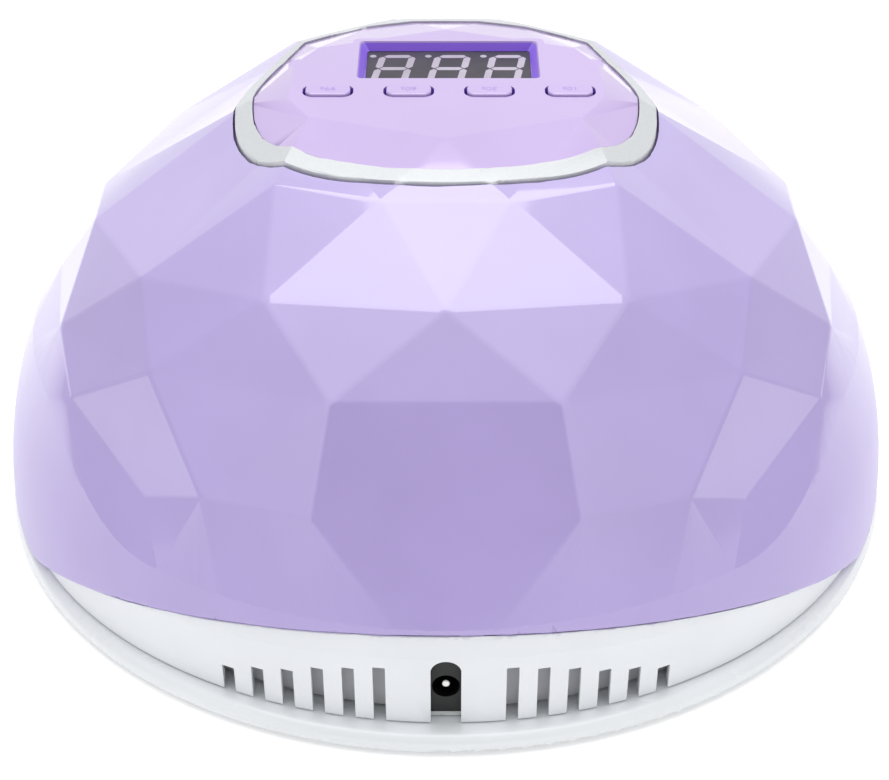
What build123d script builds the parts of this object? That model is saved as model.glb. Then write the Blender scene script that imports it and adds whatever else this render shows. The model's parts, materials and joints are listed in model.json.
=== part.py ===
from build123d import *
import os
from math import asin, atan2, cos, degrees, radians, sin

# UV LED nail lamp: a faceted dome on a round base plate, hand opening at the front (+Y),
# power inlet and cooling slots at the back (-Y).
# Millimetres, +Z up. The origin is on the table, under the middle of the base plate.

# ---- driving dimensions ----------------------------------------------------------------
FOOT_DROP = 1.0                 # how far the rubber feet stand below the base plate
BASE_R = 106.0
BASE_TOP = 5.0                  # top face of the base plate
LIFT_GAP = 0.3                  # lamp stands this far above the plate
LAMP_BOTTOM = BASE_TOP + LIFT_GAP
DOME_R = 105.5                  # smooth dome: superellipse profile, radius, height, exponents
DOME_RISE = 108.5
DOME_SPRING = 4.0               # height where the dome is widest
DOME_TOP = 103.5                # flat top
CONE_FROM = 52.0                # above this the smooth body runs on as its tangent cone
SKIN_SCALE = 0.976              # inside of the shell, as a scale about the origin
PART_SLOPE = 0.43               # tilted parting line between shell and lower housing
PART_BACK = 29.6                # its height at y = -102
HOUSING_R = 101.3               # lower housing wall, outer radius at the base plate
HOUSING_TAPER = 0.10            # radius gained for each mm of height
HOUSING_WIDEN = 1.03            # it is this much wider across X than along Y
WALL = 2.4
SLOT_W = 2.5
SLOT_PITCH = 6.4
SLOT_FIRST = 13.7
SLOT_TOPS = (20.8, 19.75, 18.35, 16.1, 14.5, 12.3)     # from the middle outwards
OVAL_Y = 1.0                    # trim ring and panel: centre, half width, half depth
RING_A, RING_B = 47.2, 42.8
RING_W = 4.0
OVAL_POWER = 2.25
WINDOW = (41.0, 20.2)           # display window at the surface
WINDOW_X, WINDOW_Y = 0.6, 11.7
WINDOW_FLOOR = (37.4, 18.6)
WINDOW_DEEP = 2.2
DISPLAY = (37.6, 19.0, 8.0)
DIGIT_PITCH = 12.7
BUTTON = (9.9, 5.6)
BUTTON_Y = -5.0
BUTTON_X = (-26.0, -8.2, 9.6, 27.4)
BUTTON_PROUD = 0.6
MOUTH_HALF, MOUTH_H, MOUTH_ROUND = 76.0, 57.0, 46.0
BEZEL_W = 6.0
CAVITY_R, CAVITY_H, CAVITY_SHOULDER = 82.0, 61.0, 46.0
LINER_T = 1.6
LED_R = 4.0
LED_ROWS = ((14, (11, 33, 55, 77, 99)), (33, (0, 27, 54, 80)), (48, (0, 40, 79)), (57.5, (0, 90)))
LED_CEILING = ((0, 30), (27, 30), (0, 53), (27, 53))    # x and y over the mouth's passage
BOARD_Z = 91.6                  # underside of the control board
BOARD_T = 1.6
JACK_Z = 13.6
FAR = 140.0                     # longer than anything

os.makedirs("parts", exist_ok=True)


def part_height(y):
    """Height of the parting line above the table at the depth y."""
    return PART_BACK - PART_SLOPE * (y + 102)


# ---- faceted dome ----------------------------------------------------------------------
# Corners of the right back quarter (x >= 0, y <= 0); the other quarters mirror it.
CORNER = {
    "apex": (0, -68.0, 85.0),          # middle of the six-sided star
    "star_top": (13.1, -46.7, 98.4),
    "star_side": (37.2, -60.1, 82.9),
    "star_foot": (23.1, -78.8, 70.1),
    "crown_back": (0, -28.5, DOME_TOP),
    "crown_side": (29.5, -18.0, DOME_TOP),
    "crown_lip": (34.5, -9.0, DOME_TOP),
    "crown_end": (44.5, 0, 98.0),
    "ridge": (36.0, -36.5, 97.0),
    "cheek": (65.2, -40.1, 76.6),
    "cheek_low": (62.0, -59.6, 65.1),
    "knee": (50.1, -81.3, 48.8),
    "knee_out": (63.0, -72.1, 42.0),
    "back_foot": (27.0, -90.8, 50.3),
    "temple": (79.6, -9.0, 73.6),
    "hip": (85.9, -29.2, 57.8),
    "hip_low": (81.5, -47.8, 51.0),
    "side": (90.0, 0, 57.0),
}
FACETS = (
    ("crown_back", "star_top", "crown_side"), ("star_top", "ridge", "crown_side"),
    ("star_top", "star_side", "ridge"), ("apex", "star_top", "star_side"),
    ("apex", "star_side", "star_foot"), ("ridge", "star_side", "cheek"),
    ("crown_side", "ridge", "cheek"), ("crown_side", "cheek", "temple"),
    ("crown_side", "temple", "crown_end"), ("crown_side", "crown_lip", "crown_end"),
    ("cheek", "star_side", "cheek_low"),
    ("cheek_low", "star_side", "star_foot"), ("cheek_low", "star_foot", "knee"),
    ("knee", "star_foot", "back_foot"), ("temple", "cheek", "hip"),
    ("hip", "cheek", "cheek_low"), ("hip", "cheek_low", "hip_low"),
    ("hip_low", "cheek_low", "knee"), ("hip_low", "knee", "knee_out"),
    ("temple", "hip", "side"),
)
# Facets that cross the middle: the primed corner is the mirror of the plain one.
ACROSS_X = (("crown_back", "star_top", "star_top'"), ("apex", "star_top", "star_top'"),
            ("apex", "star_foot", "star_foot'"),
            ("star_foot", "back_foot", "back_foot'", "star_foot'"))
ACROSS_Y = (("crown_end", "temple", "temple'"), ("side", "temple", "temple'"),
            ("crown_end", "crown_lip", "crown_lip'"))
LOWER_CHAIN = ("back_foot", "knee", "knee_out", "hip_low", "hip", "side")
RIM_STEP = 3                    # degrees between points of the rim where facets end
RIM_OUT = 0.045                 # the rim lies this far outside the smooth dome


def dome_radius(z):
    """Radius of the smooth dome at height z."""
    rise = max(z - DOME_SPRING, 0) / DOME_RISE
    return DOME_R * (1 - rise ** 2.05) ** (1 / 1.8)


def rim_height(az):
    """Height where the facets meet the smooth skirt, az degrees round from the back."""
    t = min(max((az - 38) / 28, 0), 1)
    return 30.8 + 15 * t * t * (3 - 2 * t)


def azimuth(p):
    return degrees(atan2(p[0], -p[1]))


def polar(r, az, z):
    return (r * sin(radians(az)), -r * cos(radians(az)), z)


def quarter_facets():
    """Corner tuples of every facet of the right back quarter, down to the table."""
    faces = [[CORNER[name] for name in facet] for facet in FACETS]
    rim = [polar(dome_radius(rim_height(az)) + RIM_OUT, az, rim_height(az))
           for az in range(0, 91, RIM_STEP)]
    out = [polar(DOME_R + 8, azimuth(p), p[2]) for p in rim]
    chain = [CORNER[name] for name in LOWER_CHAIN]
    k = 0
    for a, b, c, d in zip(rim, rim[1:], out, out[1:]):
        middle = (azimuth(a) + azimuth(b)) / 2
        while k < len(chain) - 1 and middle > (azimuth(chain[k]) + azimuth(chain[k + 1])) / 2:
            faces.append([a, chain[k], chain[k + 1]])
            k += 1
        faces.append([a, b, chain[k]])
        faces.append([a, c, b])
        faces.append([b, c, d])
        faces.append([c, d, (d[0], d[1], -5), (c[0], c[1], -5)])
    return faces


def mirrored(points, sx, sy):
    return [(sx * x, sy * y, z) for x, y, z in points]


def faceted_dome():
    """Closed solid: facets above, smooth skirt below, both as the dome's outer surface."""
    quarter = quarter_facets()
    polygons = [mirrored(face, sx, sy) for face in quarter for sx in (1, -1) for sy in (1, -1)]
    pick = lambda name, sx, sy: (CORNER[name][0] * sx, CORNER[name][1] * sy, CORNER[name][2])
    for facet in ACROSS_X:
        back = [pick(n.rstrip("'"), -1 if n.endswith("'") else 1, 1) for n in facet]
        polygons += [back, mirrored(back, 1, -1)]
    foot = CORNER["back_foot"]
    rim_back = polar(dome_radius(rim_height(0)) + RIM_OUT, 0, rim_height(0))
    under_star = [foot, rim_back, (-foot[0], foot[1], foot[2])]
    polygons += [under_star, mirrored(under_star, 1, -1)]
    for facet in ACROSS_Y:
        right = [pick(n.rstrip("'"), 1, -1 if n.endswith("'") else 1) for n in facet]
        polygons += [right, mirrored(right, -1, 1)]
    half_crown = [CORNER[name] for name in ("crown_back", "crown_side", "crown_lip")]
    right = half_crown + mirrored(half_crown, 1, -1)[::-1]
    polygons.append(right + mirrored(right, -1, 1)[-2:0:-1])
    polygons.append([polar(DOME_R + 8, az, -5) for az in range(0, 360, RIM_STEP)])
    shell = Shell([Face(Wire.make_polygon([Vector(*p) for p in pts], close=True))
                   for pts in polygons])
    return Solid(shell) & smooth_dome()


def smooth_dome():
    """Dome of revolution: spline skirt, then its tangent cone, always outside the facets."""
    heights = [DOME_SPRING + i * (CONE_FROM - DOME_SPRING) / 8 for i in range(9)]
    points = [(dome_radius(z), z) for z in heights]
    slope = dome_radius(CONE_FROM + 0.5) - dome_radius(CONE_FROM - 0.5)
    cone_top = DOME_TOP + 6
    cone_r = points[-1][0] + slope * (cone_top - CONE_FROM)
    with BuildPart() as body:
        with BuildSketch(Plane.XZ):
            with BuildLine():
                Line((0, -1), (DOME_R - 0.6, -1))
                Line((DOME_R - 0.6, -1), points[0])
                Spline(*points, tangents=((0, 1), (slope, 1)))
                Polyline(points[-1], (cone_r, cone_top), (0, cone_top), (0, -1))
            make_face()
        revolve(axis=Axis.Z)
    return body.part


# ---- shared shapes ---------------------------------------------------------------------
def oval_column(grow, z0=80.0, z1=FAR):
    """Upright column with the trim ring's outline, grown outwards by `grow`."""
    a, b, power = RING_A + grow, RING_B + grow, 2 / OVAL_POWER
    points = []
    for i in range(32):
        t = radians(360 * i / 32)
        x = a * abs(cos(t)) ** power * (1 if cos(t) > 0 else -1)
        y = b * abs(sin(t)) ** power * (1 if sin(t) > 0 else -1)
        points.append((x, OVAL_Y + y, z0))
    return extrude(Face(Wire(Edge.make_spline([Vector(*p) for p in points], periodic=True))),
                   z1 - z0, dir=(0, 0, 1))


def arch_column(grow, y0, y1, sill=LAMP_BOTTOM - 2):
    """The mouth's arch, grown by `grow`, run along Y from y0 to y1."""
    half, top = MOUTH_HALF + grow, LAMP_BOTTOM + MOUTH_H + grow
    bend = MOUTH_ROUND + grow
    with BuildPart() as column:
        with BuildSketch(Plane.XZ.offset(-y1)):
            with BuildLine():
                Line((-half, sill), (half, sill))
                Line((half, sill), (half, top - bend))
                TangentArc((half, top - bend), (half - bend, top), tangent=(0, 1))
                Line((half - bend, top), (bend - half, top))
                TangentArc((bend - half, top), (-half, top - bend), tangent=(-1, 0))
                Line((-half, top - bend), (-half, sill))
            make_face()
        extrude(amount=y1 - y0)
    return column.part


# The cavity's profile is a shoulder arc and a wide crown arc that meet in line: the crown's
# centre lies on the axis, CROWN_SINK below the lamp's underside.
SHOULDER_X = CAVITY_R - CAVITY_SHOULDER
CROWN_R = ((SHOULDER_X ** 2 + CAVITY_H ** 2 - CAVITY_SHOULDER ** 2)
           / (2 * (CAVITY_H - CAVITY_SHOULDER)))
CROWN_SINK = CROWN_R - CAVITY_H
ARCS_MEET = degrees(atan2(CROWN_SINK, SHOULDER_X))


def dome_cavity(grow):
    """Low round dome that stands on the lamp's underside, grown outwards by `grow`."""
    r, h = CAVITY_R + grow, CAVITY_H + grow
    with BuildPart() as cavity:
        with BuildSketch(Plane.XZ):
            with BuildLine():
                CenterArc((SHOULDER_X, LAMP_BOTTOM), CAVITY_SHOULDER + grow, 0, ARCS_MEET)
                CenterArc((0, LAMP_BOTTOM - CROWN_SINK), CROWN_R + grow, ARCS_MEET, 90 - ARCS_MEET)
                Polyline((0, LAMP_BOTTOM + h), (0, LAMP_BOTTOM - 2), (r, LAMP_BOTTOM - 2),
                         (r, LAMP_BOTTOM))
            make_face()
        revolve(axis=Axis.Z)
    return cavity.part


def cavity_wall(height):
    """Radius of the cavity at a height above its floor, and the wall's outward slope angle."""
    if height < CAVITY_SHOULDER * sin(radians(ARCS_MEET)):
        t = asin(height / CAVITY_SHOULDER)
        return SHOULDER_X + CAVITY_SHOULDER * cos(t), t
    t = asin((height + CROWN_SINK) / CROWN_R)
    return CROWN_R * cos(t), t


def ring(r_in, r_out, z0, z1):
    outer = Pos(0, 0, z0) * Cylinder(r_out, z1 - z0, align=(Align.CENTER, Align.CENTER, Align.MIN))
    return outer - Pos(0, 0, z0) * Cylinder(r_in, z1 - z0,
                                            align=(Align.CENTER, Align.CENTER, Align.MIN))


def disc(x, y, z0, z1, r):
    return Pos(x, y, z0) * Cylinder(r, z1 - z0, align=(Align.CENTER, Align.CENTER, Align.MIN))


def block(x0, x1, y0, y1, z0, z1):
    return Pos((x0 + x1) / 2, (y0 + y1) / 2, (z0 + z1) / 2) * Box(x1 - x0, y1 - y0, z1 - z0)


def rounded_block(x, y, z0, z1, w, d, r):
    """Upright block of plan w by d with corner radius r, centred on x, y."""
    return Pos(x, y, z0) * extrude(RectangleRounded(w, d, r), z1 - z0)


def under_part_line(gap):
    """Everything below the parting line, lowered by `gap` and above the lamp's underside."""
    y_meet = (PART_BACK - LAMP_BOTTOM) / PART_SLOPE - 102
    outline = Polyline((-FAR, part_height(-FAR) - gap), (y_meet, LAMP_BOTTOM - gap),
                       (FAR, LAMP_BOTTOM - gap), (FAR, -FAR), (-FAR, -FAR), close=True)
    face = make_face(Plane.YZ.offset(-FAR) * outline)
    return extrude(face, 2 * FAR, dir=(1, 0, 0))


def screw(x, y, z_head, length, r, up):
    """Pan-head screw with a cross slot; `up` is +1 when the tip points up."""
    head = disc(0, 0, -1.6, 0, 1.9 * r)
    slot = block(-0.3, 0.3, -1.3 * r, 1.3 * r, -1.6, -0.9)
    body = head + disc(0, 0, 0, length, r) - slot - Rot(0, 0, 90) * slot
    if up < 0:
        body = Rot(180, 0, 0) * body
    return Pos(x, y, z_head) * body


def shrunk(solid, factor):
    return scale(solid, by=factor)


def write(name, shape):
    solids = shape.solids() if hasattr(shape, "solids") else Compound(children=shape).solids()
    export_step(Compound(children=list(solids)), f"parts/{name}.step")


def group(shapes):
    """Separate solids that share one node."""
    return Compound(children=[s for shape in shapes for s in shape.solids()])


# ---- base: plate, feet, magnet discs, reflective sheet ---------------------------------
FOOT_R, FOOT_AT, FOOT_AZ = 6.0, 88.0, (45, 135, 225, 315)
MAGNET_R, MAGNET_T, MAGNET_AT, MAGNET_AZ = 4.0, 2.4, 93.5, (52, 106, 254, 308)
SHEET_R, SHEET_T = 74.0, 0.5

base_plate = disc(0, 0, FOOT_DROP, BASE_TOP, BASE_R)
plate_rims = base_plate.edges().filter_by(GeomType.CIRCLE).sort_by(Axis.Z)
base_plate = fillet(plate_rims[-1], 2.6)
base_plate = fillet(base_plate.edges().filter_by(GeomType.CIRCLE).sort_by(Axis.Z)[0], 1.0)
base_plate -= disc(0, 0, BASE_TOP - SHEET_T, BASE_TOP + 1, SHEET_R + 0.2)
feet, steel_discs = [], []
for az in FOOT_AZ:
    x, y, _ = polar(FOOT_AT, az, 0)
    base_plate -= disc(x, y, 0, FOOT_DROP + 1, FOOT_R + 0.1)
    feet.append(fillet(disc(x, y, 0, FOOT_DROP + 1, FOOT_R).edges().group_by(Axis.Z)[0], 0.6))
for az in MAGNET_AZ:
    x, y, _ = polar(MAGNET_AT, az, 0)
    base_plate -= disc(x, y, BASE_TOP - 1.5, BASE_TOP + 1, MAGNET_R + 0.6)
    steel_discs.append(disc(x, y, BASE_TOP - 1.5, BASE_TOP, MAGNET_R + 0.5))
reflector_sheet = disc(0, 0, BASE_TOP - SHEET_T, BASE_TOP, SHEET_R)

write("base_plate", base_plate)
write("rubber_feet", group(feet))
write("steel_discs", group(steel_discs))
write("base_reflector_sheet", reflector_sheet)

# ---- upper shell -----------------------------------------------------------------------
dome = faceted_dome()
dome_inside = shrunk(dome, SKIN_SCALE)
lamp_floor = block(-FAR, FAR, -FAR, FAR, -FAR, LAMP_BOTTOM)
mouth = arch_column(0, 30, FAR)

SCREW_AT, SCREW_AZ, SCREW_R = 94.8, (38, 80, 119, 241, 280, 322), 1.5
upper_shell = dome - dome_inside
bosses = [disc(*polar(SCREW_AT, az, 0)[:2], LAMP_BOTTOM + 3.1, 58, 3.4) for az in SCREW_AZ]
boss_limit = shrunk(dome, 0.985)
for boss in bosses:
    upper_shell += boss & boss_limit
for az in SCREW_AZ:
    x, y, _ = polar(SCREW_AT, az, 0)
    upper_shell -= disc(x, y, 0, LAMP_BOTTOM + 14, SCREW_R)
upper_shell -= oval_column(0.55)
upper_shell -= arch_column(BEZEL_W + 0.3, 30, FAR)

# The lower housing's wall stands under the shell's edge, so the shell is cut clear of it
# outside the screw bosses only.
edge_zone = under_part_line(0) - ring(0.1, DOME_R - 6, -FAR, FAR)
upper_shell -= edge_zone
upper_shell -= lamp_floor
upper_shell = max(upper_shell.solids(), key=lambda s: s.volume)
write("upper_shell", upper_shell)

# ---- trim ring and control panel -------------------------------------------------------
trim_ring = (oval_column(0) - oval_column(-RING_W)) & shrunk(dome, 1.004)
trim_ring -= shrunk(dome, SKIN_SCALE)
write("trim_ring", trim_ring)

panel_skin = oval_column(-RING_W - 0.25) & dome
panel_skin -= shrunk(dome, SKIN_SCALE - 0.002)
panel_flange = (oval_column(3.0) - oval_column(-RING_W - 3)) & shrunk(dome, SKIN_SCALE - 0.0015)
panel_flange -= shrunk(dome, 0.955)
control_panel = panel_skin + panel_flange
panel_under = DOME_TOP * (SKIN_SCALE - 0.002)

window_sill = DOME_TOP - WINDOW_DEEP
control_panel += rounded_block(WINDOW_X, WINDOW_Y, DOME_TOP - 4.2, DOME_TOP, WINDOW[0] + 3,
                               WINDOW[1] + 3, 1.6)
control_panel -= loft([Pos(WINDOW_X, WINDOW_Y, window_sill) * RectangleRounded(*WINDOW_FLOOR, 0.6),
                       Pos(WINDOW_X, WINDOW_Y, DOME_TOP) * RectangleRounded(*WINDOW, 1.2)])
control_panel -= rounded_block(WINDOW_X, WINDOW_Y, 90, window_sill, DISPLAY[0] + 0.4,
                               DISPLAY[1] + 0.4, 0.5)
for x in BUTTON_X:
    control_panel -= rounded_block(x, BUTTON_Y, 90, FAR, BUTTON[0] + 1.3, BUTTON[1] + 0.5, 2.4)
BOARD_SCREWS = ((-33.0, 14.0), (33.0, 14.0), (-22.0, -23.0), (22.0, -23.0))
for x, y in BOARD_SCREWS:
    control_panel += disc(x, y, BOARD_Z + BOARD_T, panel_under + 0.4, 3.0)
for x, y in BOARD_SCREWS:
    control_panel -= disc(x, y, BOARD_Z, panel_under - 2, 1.0)
write("control_panel", control_panel)

# ---- display ---------------------------------------------------------------------------
DISPLAY_BASE = BOARD_Z + BOARD_T
DISPLAY_FACE = DISPLAY_BASE + DISPLAY[2]
display_module = block(WINDOW_X - DISPLAY[0] / 2, WINDOW_X + DISPLAY[0] / 2,
                       WINDOW_Y - DISPLAY[1] / 2, WINDOW_Y + DISPLAY[1] / 2,
                       DISPLAY_BASE, DISPLAY_FACE)

SEG_LONG, SEG_W, SEG_SLANT, SEG_DEEP = 6.3, 1.6, 0.14, 0.25


def segment(cx, cy, turn):
    """One slanted bar of a digit, pointed at both ends, let into the display's face."""
    half, w = SEG_LONG / 2, SEG_W / 2
    outline = [(-half, 0), (-half + w, w), (half - w, w), (half, 0), (half - w, -w), (w - half, -w)]
    points = []
    for u, v in outline:
        x, y = (u, v) if turn == 0 else (-v, u)
        points.append((cx + x + SEG_SLANT * (cy + y), WINDOW_Y + cy + y))
    face = Face(Wire.make_polygon([Vector(px, py, DISPLAY_FACE - SEG_DEEP) for px, py in points],
                                  close=True))
    return extrude(face, SEG_DEEP, dir=(0, 0, 1))


# The digits stand upright for the person at the front, so their x runs towards -X.
segments = []
for i in (-1, 0, 1):
    cx = WINDOW_X + i * DIGIT_PITCH + 0.1
    for sx, sy, turn in ((0, 1, 0), (0, 0, 0), (0, -1, 0), (1, 0.5, 1), (1, -0.5, 1),
                         (-1, 0.5, 1), (-1, -0.5, 1)):
        segments.append(segment(cx + sx * (SEG_LONG / 2 + 0.25), sy * (SEG_LONG + 0.35), turn))
    dot_y = WINDOW_Y + SEG_LONG + 0.5
    segments.append(disc(cx - 5.6 + SEG_SLANT * 6, dot_y, DISPLAY_FACE - SEG_DEEP, DISPLAY_FACE, 0.75))
for piece in segments:
    display_module -= piece
write("display_module", display_module)
write("display_segments", group(segments))

# ---- buttons ---------------------------------------------------------------------------
BUTTON_TRAVEL = 0.6
CAP_TOP = DOME_TOP + BUTTON_PROUD
SWITCH_TOP = BOARD_Z + BOARD_T + 4.3
for x, name in zip(BUTTON_X, ("button_99s", "button_60s", "button_30s", "button_10s")):
    cap = rounded_block(x, BUTTON_Y, panel_under - 0.9, CAP_TOP, *BUTTON, 2.0)
    cap = fillet(cap.edges().group_by(Axis.Z)[-1], 0.5)
    cap += rounded_block(x, BUTTON_Y, panel_under - 1.8, panel_under - 0.8, BUTTON[0] + 1.6,
                         BUTTON[1] + 1.6, 2.4)
    cap += disc(x, BUTTON_Y, SWITCH_TOP + BUTTON_TRAVEL + 0.1, panel_under - 1.7, 1.2)
    write(name, cap)

# ---- control board and what is soldered to it ------------------------------------------
control_board = Pos(0, 1, BOARD_Z) * extrude(Ellipse(38, 33), BOARD_T)
for x, y in BOARD_SCREWS:
    control_board -= disc(x, y, BOARD_Z - 1, BOARD_Z + BOARD_T + 1, 1.3)
switch_bodies = group([block(x - 3, x + 3, BUTTON_Y - 3, BUTTON_Y + 3, DISPLAY_BASE,
                             SWITCH_TOP - 0.8) for x in BUTTON_X])
switch_plungers = group([disc(x, BUTTON_Y, SWITCH_TOP - 0.8, SWITCH_TOP, 1.7) for x in BUTTON_X])
chips = group([block(-10, -5.1, 8, 18, BOARD_Z - 1.7, BOARD_Z),
               block(6, 11, 9, 14, BOARD_Z - 1.7, BOARD_Z),
               block(4, 14, -22, -18, BOARD_Z - 4.5, BOARD_Z)])
write("control_board", control_board)
write("tact_switches", switch_bodies)
write("switch_plungers", switch_plungers)
write("control_chips", chips)
write("board_screws", group([screw(x, y, BOARD_Z, 6.5, 0.95, 1) for x, y in BOARD_SCREWS]))

# ---- lower housing ---------------------------------------------------------------------
with BuildPart() as wall_body:
    with BuildSketch(Plane.XZ):
        with BuildLine():
            top = LAMP_BOTTOM + 30
            out0, out1 = HOUSING_R, HOUSING_R + HOUSING_TAPER * 30
            Polyline((out0 - WALL - 2.6, LAMP_BOTTOM), (out0, LAMP_BOTTOM), (out1, top),
                     (out1 - WALL, top), (out0 - WALL + 0.3, LAMP_BOTTOM + 3),
                     (out0 - WALL - 2.6, LAMP_BOTTOM + 3), close=True)
        make_face()
    revolve(axis=Axis.Z)
housing = scale(wall_body.part, by=(HOUSING_WIDEN, 1, 1)) & under_part_line(0.35)
housing &= shrunk(dome, 0.996)
housing &= block(-FAR, FAR, -FAR, -44, 0, FAR)
frame_ring = ring(CAVITY_R + 5, HOUSING_R - 0.9, LAMP_BOTTOM, LAMP_BOTTOM + 3)
frame_ring -= arch_column(BEZEL_W + 1.0, 0, FAR)
housing += frame_ring
BAFFLE_R, BAFFLE_HALF = 95.4, 52.0
housing -= (ring(BAFFLE_R - 0.1, HOUSING_R - WALL, LAMP_BOTTOM - 1, LAMP_BOTTOM + 4)
            & block(-BAFFLE_HALF - 0.3, BAFFLE_HALF + 0.3, -FAR, -78, 0, FAR))
for i, slot_top in enumerate(SLOT_TOPS):
    for x in (SLOT_FIRST + i * SLOT_PITCH, -SLOT_FIRST - i * SLOT_PITCH):
        housing -= block(x - SLOT_W / 2, x + SLOT_W / 2, -FAR, -98.2 + abs(x) * 0.27,
                         LAMP_BOTTOM - 1, slot_top)
JACK_W, JACK_H, JACK_D, JACK_FACE = 9.4, 14.2, 12.0, -99.2
POST_X, POST_Z = 33.0, (35.0, 45.0)      # posts that carry the power board
INLET_R, INLET_SPRING = 3.15, JACK_Z + 6.8
housing -= block(-INLET_R, INLET_R, -FAR, -97, LAMP_BOTTOM - 1, INLET_SPRING)
housing -= Pos(0, -100, INLET_SPRING) * Rot(90, 0, 0) * Cylinder(INLET_R, 8)
housing -= block(-JACK_W / 2 - 0.2, JACK_W / 2 + 0.2, JACK_FACE - 0.05, -80, LAMP_BOTTOM - 1, 40)
for az in SCREW_AZ:
    x, y, _ = polar(SCREW_AT, az, 0)
    housing -= disc(x, y, 0, 40, SCREW_R + 0.2)
    housing -= disc(x, y, 0, LAMP_BOTTOM + 1.8, 3.2)
magnets = []
for az in MAGNET_AZ:
    x, y, _ = polar(MAGNET_AT, az, 0)
    housing -= disc(x, y, 0, LAMP_BOTTOM + MAGNET_T, MAGNET_R + 0.05)
    magnets.append(disc(x, y, LAMP_BOTTOM, LAMP_BOTTOM + MAGNET_T, MAGNET_R))
for x in (-POST_X, POST_X):
    housing += block(x - 2.5, x + 2.5, -84.8, -80.25, LAMP_BOTTOM + 1, 48.5) & shrunk(dome, 0.97)
    housing += block(x - 2.5, x + 2.5, -88.3, -80.25, LAMP_BOTTOM, LAMP_BOTTOM + 3)
    for z in POST_Z:
        housing -= Pos(x, -80, z) * Rot(90, 0, 0) * disc(0, 0, -1, 4.4, 0.95)
housing = max(housing.solids(), key=lambda s: s.volume)
write("lower_housing", housing)
write("magnets", group(magnets))
write("housing_screws", group([screw(*polar(SCREW_AT, az, 0)[:2], LAMP_BOTTOM + 1.8, 9, 1.45, 1)
                               for az in SCREW_AZ]))

baffle = ring(BAFFLE_R, BAFFLE_R + 1.2, LAMP_BOTTOM + 0.15, LAMP_BOTTOM + 20)
baffle &= block(-BAFFLE_HALF, BAFFLE_HALF, -FAR, -78, 0, FAR)
baffle -= block(-JACK_W / 2 - 0.4, JACK_W / 2 + 0.4, -FAR, 0, 0, JACK_Z + JACK_H / 2 + 0.4)
write("vent_baffle", baffle)

# ---- mouth bezel -----------------------------------------------------------------------
LINER_END = 62.0                 # the liner stops here, and the bezel starts
SLEEVE_FROM, SLEEVE_X, SLEEVE_Z = 50.5, 40.0, 28.0
bezel = arch_column(BEZEL_W, LINER_END + 0.2, FAR) - mouth
sleeve = arch_column(BEZEL_W, SLEEVE_FROM, LINER_END + 0.5) - arch_column(LINER_T + 0.2, 0, FAR)
sleeve -= block(-SLEEVE_X, SLEEVE_X, 0, FAR, 0, FAR)
sleeve -= block(-FAR, FAR, 0, FAR, 0, SLEEVE_Z)
bezel += sleeve                  # backs the arch's corners, where the dome falls away
bezel &= shrunk(dome, 1.003)
bezel -= lamp_floor
write("mouth_bezel", bezel)

# ---- reflector liner and the lamps in it -----------------------------------------------
cavity = dome_cavity(0) + arch_column(0, 0, FAR)
liner = dome_cavity(LINER_T) + arch_column(LINER_T, 0, LINER_END)
FLANGE_Z = LAMP_BOTTOM + 3.0
flange = ring(CAVITY_R + 0.5, CAVITY_R + 8.5, FLANGE_Z + 0.05, FLANGE_Z + 1.4)
flange -= arch_column(0, 0, FAR)
liner += flange


def led_places():
    """Middle and outward direction of each lamp: rows round the dome, then the ceiling."""
    places = []
    for height, azimuths in LED_ROWS:
        r, t = cavity_wall(height)
        for az in sorted({a * s for a in azimuths for s in (1, -1)}):
            out = Vector(*polar(cos(t), az, sin(t)))
            places.append((Vector(*polar(r, az, LAMP_BOTTOM + height)), out))
    for x, y in sorted({(x * s, y) for x, y in LED_CEILING for s in (1, -1)}):
        places.append((Vector(x, y, LAMP_BOTTOM + MOUTH_H), Vector(0, 0, 1)))
    return places


def at_led(place, out, shape):
    """Move a shape made along +Z so that it points out of the cavity at one lamp."""
    return Plane(origin=place, z_dir=out) * shape


BOSS_R, BOSS_H, STAR_T, PACKAGE_SINK = 6.5, 3.4, 1.2, 0.3
LENS_R, LENS_SINK = 3.6, 2.2
packages, lenses, stars = [], [], []
for place, out in led_places():
    liner += at_led(place, out, disc(0, 0, -2, BOSS_H, BOSS_R))
liner -= cavity
ball_cut = block(-LENS_R, LENS_R, -LENS_R, LENS_R, PACKAGE_SINK, 2 * LENS_R)
for place, out in led_places():
    liner -= at_led(place, out, disc(0, 0, -3, BOSS_H + 1, LED_R + 0.1))
    packages.append(at_led(place, out, disc(0, 0, PACKAGE_SINK, BOSS_H + 0.05, LED_R)))
    lenses.append(at_led(place, out, Pos(0, 0, LENS_SINK) * Sphere(LENS_R) - ball_cut))
    stars.append(at_led(place, out, disc(0, 0, BOSS_H + 0.05, BOSS_H + 0.05 + STAR_T, BOSS_R - 0.3)))
SENSOR_Y, SENSOR_Z, SENSOR_R = 46.0, LAMP_BOTTOM + 8.5, 2.5
liner -= Pos(0, SENSOR_Y, SENSOR_Z) * Rot(0, 90, 0) * Cylinder(SENSOR_R + 0.1, 2 * FAR)
for x in (-POST_X, POST_X):
    liner -= block(x - 2.9, x + 2.9, -FAR, -80, 0, 25)
liner -= block(-JACK_W / 2 - 0.5, JACK_W / 2 + 0.5, -FAR, -CAVITY_R - LINER_T - 0.4, 0, JACK_Z + 8)
liner -= lamp_floor
liner = max(liner.solids(), key=lambda s: s.volume)
write("reflector_liner", liner)
write("led_packages", group(packages))
write("led_lenses", group(lenses))
write("led_star_boards", group(stars))

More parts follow.
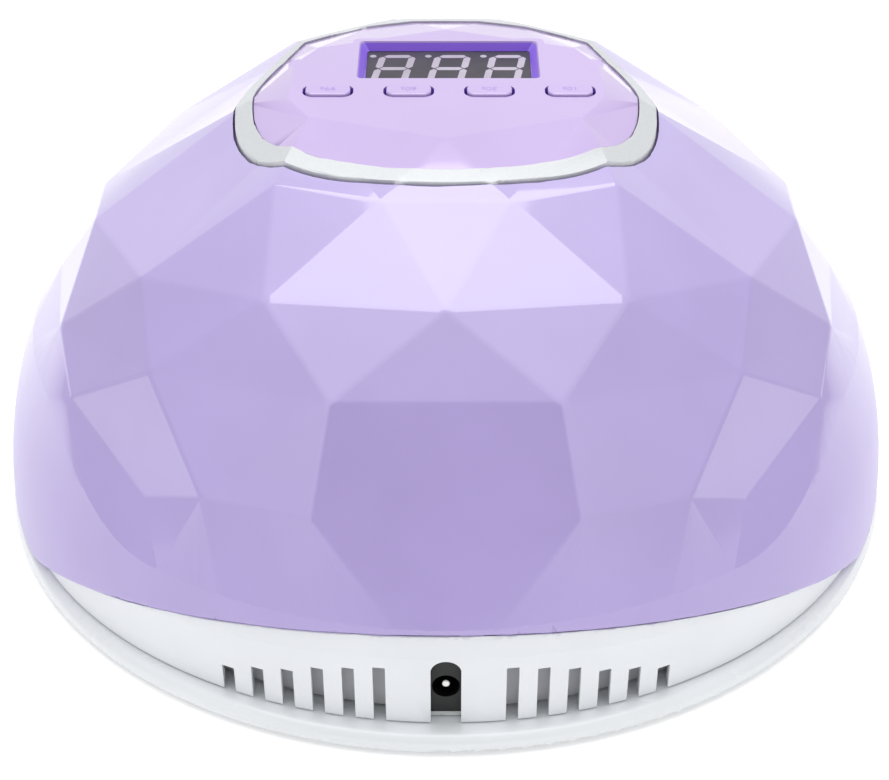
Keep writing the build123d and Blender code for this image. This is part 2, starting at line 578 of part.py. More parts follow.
for side, name in ((-1, "hand_sensor_emitter"), (1, "hand_sensor_receiver")):
    body = Cylinder(SENSOR_R, 6.0, align=(Align.CENTER, Align.CENTER, Align.MIN))
    body = fillet(body.edges().group_by(Axis.Z)[0], 1.6)
    body += Pos(0, 0, LINER_T + 0.8) * Cylinder(3.1, 1.0, align=(Align.CENTER, Align.CENTER, Align.MIN))
    write(name, Pos(side * (MOUTH_HALF - 0.6), SENSOR_Y, SENSOR_Z) * Rot(0, side * 90, 0) * body)

# ---- power inlet and power board -------------------------------------------------------
jack_low = LAMP_BOTTOM + 1.2
jack_body = block(-JACK_W / 2, JACK_W / 2, JACK_FACE, JACK_FACE + JACK_D, jack_low,
                  jack_low + JACK_H)
JACK_BORE, PIN_R = 2.9, 1.0
along_y = Rot(-90, 0, 0)
jack_body -= Pos(0, JACK_FACE, JACK_Z) * along_y * disc(0, 0, -1, 9.2, JACK_BORE)
jack_pin = Pos(0, JACK_FACE, JACK_Z) * along_y * disc(0, 0, 0.6, 9.2, PIN_R)
jack_pin = fillet(jack_pin.edges().group_by(Axis.Y)[0], 0.45)
write("dc_jack_body", jack_body)
write("dc_jack_pin", jack_pin)
write("jack_board", block(-JACK_W / 2, JACK_W / 2, JACK_FACE + 0.2, JACK_FACE + JACK_D + 1,
                          LAMP_BOTTOM + 0.1, jack_low - 0.05))

POWER_Y, POWER_T, POWER_LOW, POWER_TOP, POWER_HALF = -80.2, 1.6, 30.0, 50.0, 36.0
power_board = block(-POWER_HALF, POWER_HALF, POWER_Y, POWER_Y + POWER_T, POWER_LOW, POWER_TOP)
power_screws = []
for x in (-POST_X, POST_X):
    for z in POST_Z:
        hole = Pos(x, POWER_Y, z) * along_y * disc(0, 0, -5, 3, 1.1)
        power_board -= hole
        power_screws.append(Pos(x, POWER_Y + POWER_T, z) * Rot(90, 0, 0) * screw(0, 0, 0, 5.5, 0.95, 1))
coils = [Pos(x, POWER_Y, 38) * along_y * disc(0, 0, -5.2, 0, 4.6) for x in (-16, 2)]
caps = [Pos(x, POWER_Y, 41) * along_y * disc(0, 0, -6.0, 0, 3.1) for x in (-7, 11)]
plug_block = block(22, 29, POWER_Y - 4, POWER_Y, 43.5, 49)
parts_on_board = [block(x, x + 5, POWER_Y - 1.6, POWER_Y, 32, 38) for x in (-27, 18, 25)]
write("power_board", power_board)
write("power_coils", group(coils))
write("power_capacitors", group(caps))
write("power_chips", group(parts_on_board))
write("lead_socket", plug_block)
write("power_board_screws", group(power_screws))

LEAD_R = 1.5
LEAD_ROUTE = ((25.5, POWER_Y - 2, 49.05), (25.5, POWER_Y - 2, 54.5), (25, -64, 68), (18, -38, 78),
              (9, -20, 77), (9, -20, BOARD_Z - 4.55))
with BuildPart() as lead:
    with BuildLine() as path:
        FilletPolyline(*LEAD_ROUTE, radius=(4, 14, 14, 5))
    with BuildSketch(Plane(origin=path.line @ 0, z_dir=path.line % 0)):
        Circle(LEAD_R)
    sweep()
write("internal_lead", lead.part)
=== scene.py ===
# %% [markdown] # A faceted nail lamp  This lesson dresses a small salon lamp that cures gel
# polish: a lavender dome cut like a gem, a silver trim ring round its control panel, a white
# lower housing with cooling slots and a round white base plate. The CAD model already gives
# every part its true shape and place, so the work here is what the eye reads as quality:
# soft edges on the facets, moulded plastic that isn't perfectly even, brushed metal, and the
# studio light that shows them. Everything is in metres and in the lamp's own frame: +Z is
# up, the hand opening looks along +Y and the power inlet along -Y.

# %% Load the frame
import json
from math import cos, radians, sin

import bmesh
import bpy
import numpy as np
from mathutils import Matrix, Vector


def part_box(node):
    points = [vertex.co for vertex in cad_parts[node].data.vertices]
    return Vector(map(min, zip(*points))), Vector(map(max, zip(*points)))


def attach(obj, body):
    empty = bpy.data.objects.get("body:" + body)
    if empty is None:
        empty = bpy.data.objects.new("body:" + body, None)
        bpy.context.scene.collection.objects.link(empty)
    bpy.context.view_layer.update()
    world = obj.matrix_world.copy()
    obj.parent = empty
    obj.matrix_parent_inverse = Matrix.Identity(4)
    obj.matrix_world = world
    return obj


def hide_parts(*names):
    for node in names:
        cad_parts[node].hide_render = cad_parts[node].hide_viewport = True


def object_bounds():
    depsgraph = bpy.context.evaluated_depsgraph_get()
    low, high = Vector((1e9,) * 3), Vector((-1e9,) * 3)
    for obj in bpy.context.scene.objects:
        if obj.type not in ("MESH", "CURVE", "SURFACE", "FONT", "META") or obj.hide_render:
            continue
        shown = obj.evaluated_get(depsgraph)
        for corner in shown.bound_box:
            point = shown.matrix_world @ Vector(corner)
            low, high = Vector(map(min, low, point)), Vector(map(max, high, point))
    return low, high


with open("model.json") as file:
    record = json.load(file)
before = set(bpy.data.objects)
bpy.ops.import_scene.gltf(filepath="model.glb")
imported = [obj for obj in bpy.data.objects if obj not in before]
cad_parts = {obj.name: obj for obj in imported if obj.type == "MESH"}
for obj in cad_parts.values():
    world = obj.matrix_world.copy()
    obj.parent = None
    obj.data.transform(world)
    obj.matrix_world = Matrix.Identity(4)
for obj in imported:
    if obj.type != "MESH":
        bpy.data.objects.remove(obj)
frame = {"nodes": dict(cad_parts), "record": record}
cad_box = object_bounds()
nodes = frame["nodes"]
bodies = frame["record"]["behaviour"]["bodies"]
body_of_node = {node: body for body, members in bodies.items() for node in members}
slot_of_node = {s["node"]: s["material_slot"] for s in frame["record"]["subparts"]}
MM = 0.001
lamp_mm = [round(v / MM, 1) for v in cad_box[1] - cad_box[0]]
print(len(nodes), "parts; the lamp measures", lamp_mm, "mm")

# %% [markdown]
# ## Arithmetic on shader sockets
#
# A material is a small calculation. Written as nodes it takes a page of links, so one class
# wraps an output socket and lets Python's own operators add the Math nodes. The reflected
# forms (`__radd__` and its family) let a plain number stand on the left, as in `1 - mask`.

# %% A socket that can be added and multiplied
class Value:
    def __init__(self, finish, socket):
        self.finish, self.socket = finish, socket

    def math(self, operation, *others):
        return self.finish.node("ShaderNodeMath", dict(operation=operation), self, *others)

    def __add__(self, other): return self.math("ADD", other)
    def __radd__(self, other): return self.math("ADD", other)
    def __sub__(self, other): return self.math("SUBTRACT", other)
    def __rsub__(self, other): return self.finish.value(other).math("SUBTRACT", self)
    def __mul__(self, other): return self.math("MULTIPLY", other)
    def __rmul__(self, other): return self.math("MULTIPLY", other)

    def fade(self, low, high):
        """0 below low, 1 above high, and a smooth step between."""
        return self.finish.node("ShaderNodeMapRange", dict(interpolation_type="SMOOTHSTEP"),
                                Value=self, **{"From Min": low, "From Max": high})


print("sockets do arithmetic:", [w for w in vars(Value) if w.startswith("__") and w.endswith("__")][:9])

# %% [markdown]
# ## A finish
#
# `Finish` is one material. Its `node` method makes any node: the settings first, because some
# of them change which sockets exist, then the values or links of the sockets by name.
# Patterns read Object coordinates, so they are as fixed to the part as real grain is.

# %% A material under construction
class Finish:
    def __init__(self, name, colour, roughness, **plain):
        self.material = bpy.data.materials.new(name)
        self.material.use_nodes = True
        self.tree = self.material.node_tree
        self.shader = self.tree.nodes["Principled BSDF"]
        self.place = Value(self, self.tree.nodes.new("ShaderNodeTexCoord").outputs["Object"])
        self.set("Base Color", colour)
        self.set("Roughness", roughness)
        for socket, setting in plain.items():
            self.set(socket.replace("_", " "), setting)

    def feed(self, socket, given):
        if isinstance(given, Value):
            self.tree.links.new(given.socket, socket)
        elif given is not None:
            opaque = socket.type == "RGBA" and len(given) == 3
            socket.default_value = (*given, 1) if opaque else given

    def set(self, socket, given):
        self.feed(self.shader.inputs[socket], given)
        return self

    def node(self, kind, settings, *given, out=0, stops=(), **named):
        node = self.tree.nodes.new(kind)
        for key, setting in settings.items():
            setattr(node, key, setting)
        for at, shade in stops:
            node.color_ramp.elements.new(at).color = (shade, shade, shade, 1)
        by_name = {s.identifier: s for s in node.inputs}
        by_name |= {s.name: s for s in reversed(node.inputs)}
        for socket, one in zip(node.inputs, given):
            self.feed(socket, one)
        for key, one in named.items():
            self.feed(by_name[key], one)
        outputs = {s.identifier: s for s in node.outputs} | dict(enumerate(node.outputs))
        return Value(self, outputs[out])

    def value(self, number):
        return self.node("ShaderNodeMath", dict(operation="ADD"), number, 0.0)

    def noise(self, per_metre, detail=2.0, rough=0.5, where=None):
        return self.node("ShaderNodeTexNoise", {}, Vector=where or self.place, Scale=per_metre,
                         Detail=detail, Roughness=rough)

    def cells(self, per_metre, where=None):
        return self.node("ShaderNodeTexVoronoi", {}, Vector=where or self.place, Scale=per_metre)

    def stretched(self, x, y, z):
        return self.node("ShaderNodeMapping", {}, Vector=self.place, Scale=(x, y, z))

    def xyz(self):
        parts = self.tree.nodes.new("ShaderNodeSeparateXYZ")
        self.feed(parts.inputs[0], self.place)
        return [Value(self, s) for s in parts.outputs]

    def mix(self, factor, a, b):
        return self.node("ShaderNodeMix", dict(data_type="RGBA"), Factor_Float=factor, A_Color=a,
                         B_Color=b, out="Result_Color")

    def relief(self, height, depth_mm, strength=1.0):
        """Bump: height 0 to 1 stands for depth_mm of real relief."""
        bump = self.node("ShaderNodeBump", {}, Strength=strength, Distance=depth_mm * MM, Height=height)
        return self.set("Normal", bump)


def srgb(r, g, b):
    """Linear colour of an 8-bit screen colour."""
    c = np.array((r, g, b)) / 255
    return tuple(np.where(c <= 0.04045, c / 12.92, ((c + 0.055) / 1.055) ** 2.4).tolist())


def tone(colour, factor):
    return tuple(min(c * factor, 1.0) for c in colour)


finishes = {}


def keep(slot, finish):
    finishes[slot] = finish.material
    return finish


print("a finish can", [name for name in vars(Finish) if not name.startswith("_")])

# %% [markdown]
# ## The lavender plastic
#
# The dome is glossy ABS with a pearl pigment. A moulded gloss surface is never a perfect
# mirror: it has a faint orange peel about two millimetres across, hairline polishing marks
# that change how sharply it reflects, and pigment that clouds very slightly. Each is a noise
# at its own real scale, and only the clouding touches the colour of the plastic itself. The
# plain skirt has a thinner gloss coat than the facets above it. The recessed walls of the
# window and of the button holes are painted a deeper violet: painted shade, standing in for
# the shade inside those recesses.

# %% Pearl plastics: shell, panel and buttons
def pearl(name, colour, cloud=0.03, rough=0.3, coat=1.0):
    f = Finish(name, colour, rough, IOR=1.65, Coat_Weight=coat, Coat_Roughness=0.05, Coat_IOR=1.75)
    clouds = f.noise(26, 3, 0.55)
    f.pigment = f.mix(clouds.fade(0.3, 0.7), tone(colour, 1 - cloud), tone(colour, 1 + cloud))
    f.set("Base Color", f.pigment)
    hairlines = f.noise(60, 4, 0.7, where=f.stretched(1, 9, 4))
    f.set("Roughness", rough - 0.03 + 0.07 * hairlines)
    peel = f.noise(420, 2, 0.4)
    swell = f.noise(38, 1, 0.3)
    return f.relief(0.25 * peel + 0.9 * swell, 0.10, 0.5)


shell = keep("shell_lavender", pearl("pearl_shell", srgb(179, 162, 217)))
x, y, z = shell.xyz()
shell.set("Coat Weight", 0.12 + 0.88 * z.fade(25 * MM, 62 * MM))

panel = keep("panel_lavender", pearl("pearl_panel", srgb(188, 163, 216)))
x, y, z = panel.xyz()
pane_low, pane_high = (np.array(v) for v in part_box("display_module"))
key_low, key_high = (np.array(v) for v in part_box("button_60s"))
pane, keys = (pane_low + pane_high) / 2, (key_low + key_high) / 2
in_window = (1 - (x - float(pane[0])).math("ABSOLUTE").fade(21.5 * MM, 22 * MM)) \
    * (1 - (y - float(pane[1])).math("ABSOLUTE").fade(11 * MM, 11.4 * MM))
by_keys = (1 - x.math("ABSOLUTE").fade(33 * MM, 33.5 * MM)) \
    * (1 - (y - float(keys[1])).math("ABSOLUTE").fade(3.7 * MM, 3.9 * MM))
# Painted shade: the walls of the display window and of the button holes, below the panel top, take a
# deeper violet that stands for the shade in those recesses.
recess_painted_shade = (1 - z.fade(103.0 * MM, 103.3 * MM)) * (in_window + by_keys)
panel.set("Base Color", panel.mix(recess_painted_shade, panel.pigment, srgb(146, 104, 236)))
keep("button_lavender", pearl("pearl_button", srgb(189, 164, 217), coat=0.7))
print("pearl plastics made")

# %% [markdown]
# ## White plastics
#
# Three whites meet on this lamp. The lower housing has a fine spark-eroded grain that keeps
# finger marks off, so it is nearly matt. The plate and the mouth trim are polished, with
# faint handling scuffs that show only in how they shine.

# %% Whites
def grained_white(name, colour):
    f = Finish(name, colour, 0.42, Coat_Weight=0.05)
    grain = f.noise(1500, 3, 0.6)
    f.set("Base Color", f.mix(f.noise(40, 2).fade(0.35, 0.65), tone(colour, 0.975), colour))
    f.set("Roughness", 0.36 + 0.14 * f.noise(300, 2))
    return f.relief(grain, 0.03, 0.55)


def polished_white(name, colour, rough=0.2):
    f = Finish(name, colour, rough, Coat_Weight=0.25, Coat_Roughness=0.08)
    scuffs = f.noise(90, 6, 0.75, where=f.stretched(1, 5, 1)).fade(0.52, 0.75)
    f.set("Base Color", f.mix(f.noise(22, 3).fade(0.3, 0.7), tone(colour, 0.97), colour))
    f.set("Roughness", rough + 0.16 * scuffs)
    return f.relief(f.noise(60, 1), 0.06, 0.4)


keep("housing_white", grained_white("grained_white", srgb(236, 238, 241)))
keep("plate_white", polished_white("polished_plate", srgb(240, 242, 244)))
keep("bezel_white", polished_white("polished_bezel", srgb(238, 239, 243), 0.18))
# Painted light: the baffle behind the cooling slots is given a near-white colour, lighter than its own
# grey, so that it reads bright in the shade inside the slots.
keep("baffle_grey", grained_white("baffle_grey", srgb(244, 245, 247)))
print("whites made")

# %% [markdown]
# ## Metals
#
# The trim ring is satin chrome. Its brushing runs round the oval, so the noise is stretched
# along the angle about the lamp's axis and squeezed across it: the coordinates are turned
# into angle and radius first. The other metals are small: pins, screws, discs and the
# mirror liner, which is plastic with a vacuum-deposited film and so has a soft ripple.

# %% Metals
def round_brushed(name, colour, rough):
    f = Finish(name, colour, rough, Metallic=0.3, IOR=1.5)
    x, y, z = f.xyz()
    angle, radius = y.math("ARCTAN2", x), (x * x + y * y).math("SQRT")
    along = f.node("ShaderNodeCombineXYZ", {}, angle * 0.06, radius * 3.0, z * 3.0)
    lines = f.noise(700, 3, 0.6, where=along)
    f.set("Roughness", rough - 0.03 + 0.06 * lines)
    f.set("Base Color", f.mix(lines.fade(0.35, 0.65), tone(colour, 0.97), tone(colour, 1.01)))
    return f.relief(lines, 0.004, 0.2)


def film_mirror(name, colour, rough, ripple=0.08):
    f = Finish(name, colour, rough, Metallic=1.0)
    f.set("Roughness", rough + 0.10 * f.noise(160, 4, 0.6))
    f.set("Base Color", f.mix(f.noise(30, 2).fade(0.35, 0.65), tone(colour, 0.95), colour))
    return f.relief(f.noise(170, 2), ripple, 0.6)


keep("ring_chrome", round_brushed("satin_chrome", srgb(208, 210, 212), 0.46))
keep("liner_mirror", film_mirror("metallised_film", srgb(232, 233, 236), 0.14))
keep("sheet_mirror", film_mirror("bright_sheet", srgb(226, 228, 232), 0.10, 0.05))
keep("steel", film_mirror("nickelled_steel", srgb(186, 187, 190), 0.28, 0.02))
keep("pin_nickel", film_mirror("nickelled_pin", srgb(222, 221, 216), 0.16, 0.01))
print("metals made")

# %% [markdown]
# ## Dark plastics, display, boards and lamps
#
# The display block is matt and nearly black, and the unlit segments are a pale diffuser that
# looks slightly uneven. A circuit board's copper shows through its mask as faint raised
# tracks, which a Voronoi pattern on stretched coordinates imitates at the right scale. The
# lamp packages are white with a yellow phosphor tint.

# %% The rest of the finishes
def moulded(name, colour, rough, grain_per_metre=1100, grain_mm=0.02, **plain):
    f = Finish(name, colour, rough, **plain)
    f.set("Roughness", rough - 0.05 + 0.12 * f.noise(grain_per_metre / 4, 3))
    mottle = f.noise(grain_per_metre / 12, 3).fade(0.3, 0.7)
    f.set("Base Color", f.mix(mottle, tone(colour, 0.86), tone(colour, 1.12)))
    return f.relief(f.noise(grain_per_metre, 2, 0.6), grain_mm, 0.6)


def circuit(name, mask, copper):
    f = Finish(name, mask, 0.35, Coat_Weight=0.4, Coat_Roughness=0.15)
    tracks = f.node("ShaderNodeTexVoronoi", dict(feature="DISTANCE_TO_EDGE", distance="CHEBYCHEV"),
                    Vector=f.place, Scale=260, Randomness=0.55).fade(0.10, 0.14)
    vias = f.cells(420).fade(0.10, 0.16)
    f.set("Base Color", f.mix(tracks, copper, mask))
    f.set("Roughness", 0.28 + 0.2 * vias)
    return f.relief(1 - tracks, 0.05, 0.8)


keep("display_grey", moulded("display_face", srgb(62, 57, 66), 0.5, 1600, 0.01))
keep("segment_grey", moulded("unlit_segment", srgb(180, 171, 186), 0.4, 900, 0.01))
keep("black_plastic", moulded("black_moulding", srgb(9, 9, 10), 0.45))
keep("switch_black", moulded("switch_body", srgb(34, 34, 37), 0.45))
keep("coil_ferrite", moulded("ferrite", srgb(58, 58, 60), 0.7, 2400, 0.05))
keep("capacitor_sleeve", moulded("shrink_sleeve", srgb(28, 36, 70), 0.25))
keep("rubber_grey", moulded("foot_rubber", srgb(104, 104, 108), 0.75, 1800, 0.05))
keep("lead_grey", moulded("lead_sleeve", srgb(60, 60, 63), 0.55, 1500, 0.04))
keep("sensor_dark", moulded("infrared_pass", srgb(34, 22, 34), 0.12, 900, 0.005, Coat_Weight=0.5))
keep("sensor_clear", moulded("infrared_clear", srgb(176, 184, 206), 0.1, 900, 0.005,
                             Coat_Weight=0.5))
keep("led_package", moulded("lamp_package", srgb(236, 228, 190), 0.45, 1200, 0.01))
keep("led_lens", moulded("silicone_lens", srgb(226, 228, 240), 0.08, 700, 0.005, Coat_Weight=0.6))
keep("board_green", circuit("green_board", srgb(18, 92, 52), srgb(52, 138, 84)))
keep("board_white", circuit("white_board", srgb(226, 229, 229), srgb(206, 209, 208)))
for slot in slot_of_node.values():
    assert slot in finishes, slot
print(len(finishes), "finishes for", len(set(slot_of_node.values())), "slots")

# %% [markdown]
# ## Soft edges without touching the CAD
#
# A mould can't hold a perfectly sharp edge, and it is the thin bright line along each edge
# that tells the eye the lamp is real. A CAD node's mesh may not be changed, so each shown
# node is copied: doubles are merged, coplanar triangles dissolved back into whole faces, and
# the edges worth rounding get a bevel weight. Two kinds count: edges between two large flat
# faces, which are the gem's facets, and edges sharper than 30 degrees. An edge that has a
# much shorter neighbour would tear when it is bevelled, so it stays crisp instead. The smooth
# skirt is many small faces with tiny angles, so it gets neither, only smooth shading.

# %% A working copy of a CAD node
def plan_edge(edge, facet_mm2, soft_mm, sharp_mm):
    """(width of the rounding in mm, whether shading runs on across the edge)."""
    faces = edge.link_faces
    if len(faces) != 2:
        return 0.0, False
    turn, areas = edge.calc_face_angle(0.0), sorted(f.calc_area() / MM ** 2 for f in faces)
    width = 0.0
    if turn > radians(30):
        width = sharp_mm
    elif areas[0] > facet_mm2 and turn > radians(0.6):
        width = soft_mm
    shortest = min(e.calc_length() for v in edge.verts for e in v.link_edges) / MM
    if width and shortest > 2.2 * width:
        return width, True
    crisp = turn > radians(30) or (areas[1] > facet_mm2 and turn > radians(2.5))
    return 0.0, not crisp


def worked_copy(node, soft_mm=0.0, sharp_mm=0.0, facet_mm2=25.0, weld_mm=0.03, segments=2):
    """Copy of a CAD node with rounded edges and clean shading, standing for that node."""
    mesh = nodes[node].data.copy()
    mesh.name = node + "_body"
    bm = bmesh.new()
    bm.from_mesh(mesh)
    bmesh.ops.remove_doubles(bm, verts=bm.verts, dist=weld_mm * MM)
    bmesh.ops.dissolve_degenerate(bm, edges=bm.edges, dist=0.5 * weld_mm * MM)
    bmesh.ops.dissolve_limit(bm, angle_limit=radians(0.06), verts=bm.verts, edges=bm.edges)
    widest = max(soft_mm, sharp_mm)
    layer = bm.edges.layers.float.new("bevel_weight_edge") if widest else None
    for edge in bm.edges:
        width, edge.smooth = plan_edge(edge, facet_mm2, soft_mm, sharp_mm)
        if width:
            edge[layer] = width / widest
    for face in bm.faces:
        face.smooth = True
    bm.to_mesh(mesh)
    bm.free()
    if "custom_normal" in mesh.attributes:
        mesh.attributes.remove(mesh.attributes["custom_normal"])
    piece = bpy.data.objects.new(node + "_body", mesh)
    bpy.context.scene.collection.objects.link(piece)
    if widest:
        bevel = piece.modifiers.new("rounding", "BEVEL")
        bevel.limit_method, bevel.width, bevel.segments = "WEIGHT", widest * MM, segments
        bevel.use_clamp_overlap = False
    shading = piece.modifiers.new("shading", "WEIGHTED_NORMAL")
    shading.keep_sharp, shading.weight = True, 50
    mesh.materials.clear()
    mesh.materials.append(finishes[slot_of_node[node]])
    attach(piece, body_of_node[node])
    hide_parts(node)
    return piece


print("ready to copy", len(nodes), "nodes")

# %% [markdown]
# ## Which parts get which edge
#
# The gem's facets have the widest rounding, 0.7 mm, as a draw-polished mould leaves. Trim,
# panel and housing have 0.3 mm. The many small electronic parts inside keep their CAD mesh
# and only take their finish.

# %% Round the shown parts
rounding_mm = {
    "upper_shell": (0.7, 0.3), "control_panel": (0.5, 0.25), "trim_ring": (0.5, 0.35),
    "lower_housing": (0, 0.3), "mouth_bezel": (0.5, 0.5), "vent_baffle": (0, 0.1),
    "dc_jack_body": (0, 0.3), "display_module": (0, 0.2), "base_plate": (0, 0),
    "reflector_liner": (0, 0), "led_packages": (0, 0.15), "led_lenses": (0, 0),
    "rubber_feet": (0, 0), "base_reflector_sheet": (0, 0), "hand_sensor_emitter": (0, 0),
    "hand_sensor_receiver": (0, 0), "dc_jack_pin": (0, 0), "steel_discs": (0, 0.15),
    "magnets": (0, 0.15), "housing_screws": (0, 0.08),
}
for button in ("button_10s", "button_30s", "button_60s", "button_99s"):
    rounding_mm[button] = (0, 0)
worked = {node: worked_copy(node, *mm) for node, mm in rounding_mm.items()}
for node, thing in nodes.items():
    thing.data.materials.clear()
    thing.data.materials.append(finishes[slot_of_node[node]])
print("rounded", len(worked), "parts, kept", len(nodes) - len(worked), "as they are")

# %% [markdown]
# ## Legends on the buttons
#
# Each button names its time in seconds. The text curve is turned into a mesh, which then
# rides the button's body. The letters are printed: 0.02 mm proud, in a violet only a little deeper than
# the button, and they read the right way up from the front, where the user's hand goes in.

# %% Print the legends
def legend(node, words, height_mm, proud_mm=0.02):
    """Flat text centred on the node's top face, turned to be read from +Y."""
    low, high = (np.array(v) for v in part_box(node))
    curve = bpy.data.curves.new(node + "_words", "FONT")
    curve.body, curve.size, curve.align_x, curve.align_y = words, height_mm * MM, "CENTER", "CENTER"
    text = bpy.data.objects.new(node + "_words", curve)
    bpy.context.scene.collection.objects.link(text)
    bpy.context.view_layer.update()
    finished = text.evaluated_get(bpy.context.evaluated_depsgraph_get())
    mesh = bpy.data.meshes.new_from_object(finished)
    bpy.data.objects.remove(text)
    flat = np.empty(3 * len(mesh.vertices))
    mesh.vertices.foreach_get("co", flat)
    middle_x, middle_y, _ = (low + high) / 2
    flat = flat.reshape(-1, 3) * (-1, -1, 0) + (middle_x, middle_y, high[2] + proud_mm * MM)
    mesh.vertices.foreach_set("co", flat.ravel())
    mesh.name = node + "_legend"
    mesh.materials.append(ink.material)
    piece = bpy.data.objects.new(node + "_legend", mesh)
    bpy.context.scene.collection.objects.link(piece)
    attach(piece, node)
    return piece


ink = moulded("legend_ink", srgb(170, 146, 212), 0.45, 1500, 0.004)
legends = [legend(f"button_{t}", t, 2.6) for t in ("10s", "30s", "60s", "99s")]
print("legends", [piece.name for piece in legends], "at", round(key_high[2] / MM, 2), "mm")

# %% [markdown]
# ## Where the lamps are
#
# Each ultraviolet lamp has a thin gilt bead round its lens. The places come from the mesh of
# the lenses: each lens is one loose part, its middle is the mean of its corners, and it looks
# along the direction in which it is thinnest, turned to face into the hand cavity.

# %% Find the lenses
def loose_parts(mesh):
    """Label of the loose part each vertex belongs to: the smallest index it is joined to."""
    ends = np.empty(2 * len(mesh.edges), int)
    mesh.edges.foreach_get("vertices", ends)
    a, b = ends.reshape(-1, 2).T
    label, before = np.arange(len(mesh.vertices)), None
    while before is None or (label != before).any():
        before = label.copy()
        low = np.minimum(label[a], label[b])
        np.minimum.at(label, a, low)
        np.minimum.at(label, b, low)
    return label


lens_mesh = worked["led_lenses"].data
where = np.empty(3 * len(lens_mesh.vertices))
lens_mesh.vertices.foreach_get("co", where)
where = where.reshape(-1, 3)
_, part = np.unique(loose_parts(lens_mesh), return_inverse=True)
middles = np.stack([where[part == k].mean(0) for k in range(part.max() + 1)])
looks = np.stack([np.linalg.svd(where[part == k] - middle, full_matrices=False)[2][2]
                  for k, middle in enumerate(middles)])
looks *= np.sign((((0, 0, 20 * MM) - middles) * looks).sum(1, keepdims=True))
from_middle = where - middles[part]
along = (from_middle * looks[part]).sum(1)
lens_r = np.linalg.norm(from_middle - along[:, None] * looks[part], axis=1).max()
print(len(middles), "lenses of radius", round(lens_r / MM, 2), "mm, their feet",
      round(along.min() / MM, 2), "mm from their middles")

# %% [markdown]
# ## A bead round every lens
#
# A bead is a torus: a small circle swept round a large one. All the beads are one array of
# points, with one axis for the lamp, one for the turn and one for the small circle.

# %% Turn the beads
def beads(name, middles, looks, ring_r, foot, bead_r, turns=40, sides=10):
    """middle + (R + b cos v)(e1 cos u + e2 sin u) + (foot + b sin v) look, u and v both closed."""
    aside = np.cross(looks, (0.31, 0.17, 0.93))
    aside /= np.linalg.norm(aside, axis=1, keepdims=True)
    up = np.cross(looks, aside)
    u = np.linspace(0, 2 * np.pi, turns, endpoint=False)[None, :, None, None]
    v = np.linspace(0, 2 * np.pi, sides, endpoint=False)[None, None, :, None]
    aside, up, look, middle = (a[:, None, None, :] for a in (aside, up, looks, middles))
    points = middle + (ring_r + bead_r * np.cos(v)) * (aside * np.cos(u) + up * np.sin(u)) \
        + (foot + bead_r * np.sin(v)) * look
    index = np.arange(points[..., 0].size).reshape(points.shape[:3])
    after_u, after_v = np.roll(index, -1, 1), np.roll(index, -1, 2)
    quads = np.stack([index, after_u, np.roll(after_u, -1, 2), after_v], -1).reshape(-1, 4)
    mesh = bpy.data.meshes.new(name)
    mesh.from_pydata(points.reshape(-1, 3).tolist(), [], quads.tolist())
    mesh.polygons.foreach_set("use_smooth", np.ones(len(mesh.polygons), bool))
    mesh.materials.append(gilt.material)
    piece = bpy.data.objects.new(name, mesh)
    bpy.context.scene.collection.objects.link(piece)
    return piece


gilt = film_mirror("gilt_rim", srgb(222, 200, 150), 0.22, 0.01)
lens_rims = beads("lens_rims", middles, looks, lens_r + 0.15 * MM, along.min(), 0.2 * MM)
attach(lens_rims, body_of_node["led_lenses"])
print("lens rims", len(lens_rims.data.polygons), "faces")

# %% [markdown]
# ## Studio
#
# The lamp stands on a white sweep. A large overhead softbox, slightly towards the back, makes
# the tops of the facets nearly white. The floor gives a little light of its own, so that it
# stays white to its edge.

# %% Floor and softbox
def floor_sheet(half):
    """Flat square: x and y run over the grid, z is 0."""
    mesh = bpy.data.meshes.new("studio_floor")
    u = np.linspace(-half, half, 3)
    x, y = np.meshgrid(u, u)
    points = np.stack([x, y, np.zeros_like(x)], -1).reshape(-1, 3)
    quads = [(i, i + 1, i + 4, i + 3) for i in (0, 1, 3, 4)]
    mesh.from_pydata(points.tolist(), [], quads)
    thing = bpy.data.objects.new("studio_floor", mesh)
    bpy.context.scene.collection.objects.link(thing)
    return thing


floor = floor_sheet(6.0)
paper = Finish("studio_paper", (0.9, 0.9, 0.9), 0.9, Emission_Strength=0.22)
paper.set("Emission Color", (1.0, 1.0, 1.0))
fibres = paper.noise(3, 2).fade(0.3, 0.7)
paper.set("Base Color", paper.mix(fibres, (0.89, 0.89, 0.895), (0.91, 0.91, 0.91)))
floor.data.materials.append(paper.material)
print("floor", 12, "m across")


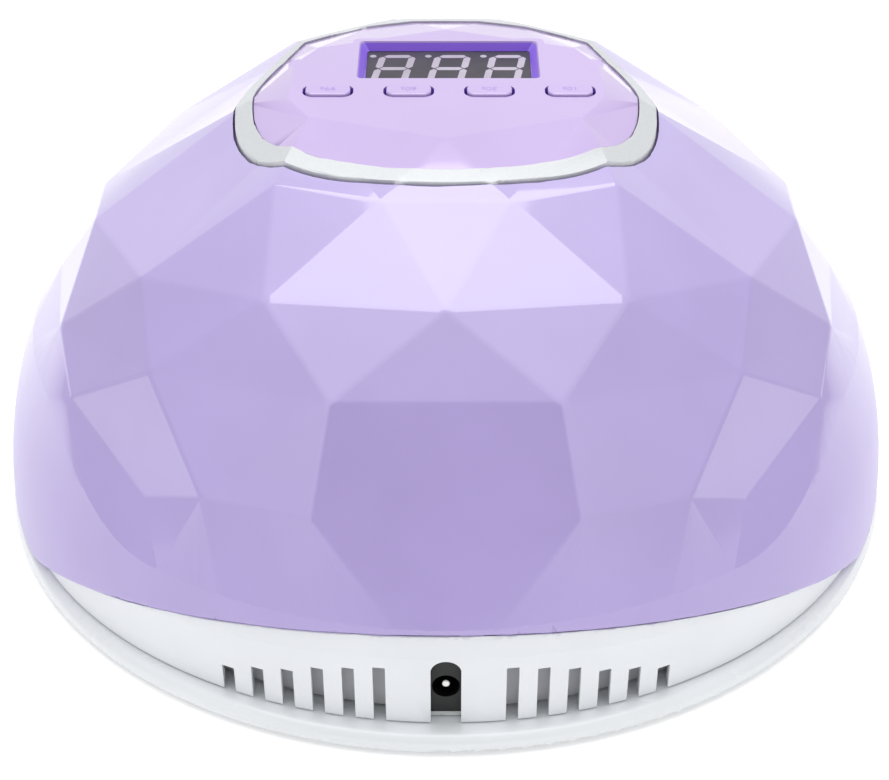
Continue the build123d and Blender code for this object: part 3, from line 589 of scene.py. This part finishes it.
def softbox(name, size, place, aim, watts, colour=(1, 1, 1)):
    light = bpy.data.lights.new(name, "AREA")
    light.shape, light.size, light.size_y = "RECTANGLE", *size
    light.energy, light.color = watts, colour
    thing = bpy.data.objects.new(name, light)
    thing.location = place
    thing.rotation_euler = (Vector(aim) - Vector(place)).to_track_quat("-Z", "Y").to_euler()
    bpy.context.scene.collection.objects.link(thing)
    return thing


softbox("overhead", (1.1, 1.0), (0, 0.05, 1.1), (0, 0, 0.05), 7.2)

# %% [markdown]
# ## The room
#
# Behind the camera the studio is dark, so the facets that face the viewer reflect little and
# look deep. It is a little dimmer low at the sides and bright at the far horizon, which puts
# the pale rim round the dome. The world's brightness is a function of direction.

# %% World
world = bpy.data.worlds.new("studio")
bpy.context.scene.world = world
world.use_nodes = True


class Room(Finish):
    def __init__(self, tree):
        self.tree, self.shader = tree, tree.nodes["Background"]
        self.place = Value(self, tree.nodes.new("ShaderNodeTexCoord").outputs["Generated"])


room = Room(world.node_tree)
across, away, up = room.xyz()
sideways = across * across
behind_camera = (-1 * away).fade(0.30, 0.75) * up.fade(0.10, 0.25) * (1 - up.fade(0.55, 0.65)) \
    * (1 - sideways.fade(0.06, 0.30))
low_back = (-1 * away).fade(0.10, 0.60) * (1 - up.fade(0.40, 0.50)) * 0.12
side_dim = sideways.fade(0.4, 0.9) * (1 - up.fade(0.55, 0.9)) * 0.60
bright = (1.0 - 0.95 * behind_camera) * (1.0 - side_dim) * (1.0 - low_back)
room.set("Color", (0.98, 0.99, 1.0))
room.set("Strength", 0.91 * bright)
print("room lit by direction,", len(room.tree.nodes), "nodes")

# %% [markdown]
# ## Camera
#
# The lamp is seen from behind and above, from half a metre away.

# %% Camera
camera = bpy.data.cameras.new("camera")
camera.lens, camera.sensor_width, camera.shift_x = 82.77, 36, -0.0016
eye = bpy.data.objects.new("camera", camera)
aim, distance, elevation = Vector((0, 0, 0.02115)), 0.5, radians(33.5)
eye.location = aim + distance * Vector((0, -cos(elevation), sin(elevation)))
eye.rotation_euler = (aim - eye.location).to_track_quat("-Z", "Y").to_euler()
bpy.context.scene.collection.objects.link(eye)
bpy.context.scene.camera = eye
bpy.context.scene.view_settings.view_transform = "Standard"
print("camera", round(eye.location.length, 3), "m from the middle of the lamp")

# %% [markdown]
# ## Sizes
#
# The CAD model's box, cad_box, is measured right after the import, before any piece is added.
# The looks may not outgrow the CAD part.
